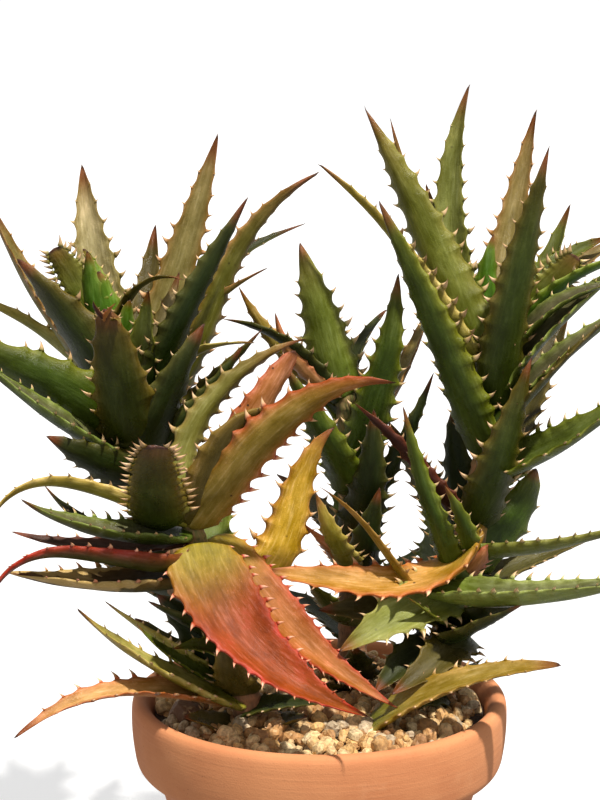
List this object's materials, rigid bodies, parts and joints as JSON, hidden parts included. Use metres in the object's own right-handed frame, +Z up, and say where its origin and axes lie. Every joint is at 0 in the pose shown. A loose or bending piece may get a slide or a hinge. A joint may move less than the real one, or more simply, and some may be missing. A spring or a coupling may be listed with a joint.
{
  "type": "potted aloe plant",
  "caption": "Leafy candelabra aloe: upright shoots of tapering toothed leaves, green to red, growing from gravel in a round terracotta bowl pot.",
  "frame": {"origin": "the middle of the flat underside of the pot, on the surface that it stands on", "axes": "+Z up, the shoots' height; -Y towards the front, where the two red leaves hang; +X to the right seen from the front"},
  "size_m": [0.448, 0.275, 0.56],
  "materials": {
    "terracotta": "matte",
    "soil": "matte",
    "gravel": "matte",
    "rock": "matte",
    "bark": "matte",
    "leaf_green": "satin",
    "leaf_olive": "satin",
    "leaf_ochre": "satin",
    "leaf_orange": "satin",
    "leaf_red": "satin"
  },
  "bodies": {
    "root": {"pot": "terracotta", "soil": "soil", "gravel": "gravel", "rock": "rock", "stem_left": "bark", "stem_front": "bark", "stem_middle": "bark", "stem_right": "bark", "leaf_left_01": "leaf_olive", "leaf_left_02": "leaf_olive", "leaf_left_03": "leaf_ochre", "leaf_left_04": "leaf_orange", "leaf_left_05": "leaf_green", "leaf_left_06": "leaf_ochre", "leaf_left_07": "leaf_green", "leaf_left_08": "leaf_orange", "leaf_left_09": "leaf_olive", "leaf_left_10": "leaf_olive", "leaf_left_11": "leaf_green", "leaf_left_12": "leaf_olive", "leaf_left_13": "leaf_green", "leaf_left_14": "leaf_olive", "leaf_left_15": "leaf_green", "leaf_front_01": "leaf_green", "leaf_front_02": "leaf_green", "leaf_front_03": "leaf_olive", "leaf_front_04": "leaf_red", "leaf_front_05": "leaf_orange", "leaf_front_06": "leaf_red", "leaf_front_07": "leaf_red", "leaf_front_08": "leaf_orange", "leaf_front_09": "leaf_olive", "leaf_front_10": "leaf_orange", "leaf_front_11": "leaf_green", "leaf_front_12": "leaf_ochre", "leaf_front_13": "leaf_green", "leaf_front_14": "leaf_orange", "leaf_front_15": "leaf_olive", "leaf_middle_01": "leaf_ochre", "leaf_middle_02": "leaf_green", "leaf_middle_03": "leaf_green", "leaf_middle_04": "leaf_olive", "leaf_middle_05": "leaf_green", "leaf_right_01": "leaf_olive", "leaf_right_02": "leaf_green", "leaf_right_03": "leaf_green", "leaf_right_04": "leaf_orange", "leaf_right_05": "leaf_olive", "leaf_right_06": "leaf_green", "leaf_right_07": "leaf_green", "leaf_right_08": "leaf_green", "leaf_right_09": "leaf_olive", "leaf_right_10": "leaf_green", "leaf_right_11": "leaf_ochre", "leaf_right_12": "leaf_green", "leaf_right_13": "leaf_orange", "leaf_right_14": "leaf_olive", "leaf_right_15": "leaf_ochre", "leaf_right_16": "leaf_green", "leaf_right_17": "leaf_olive"}
  },
  "joints": []
}
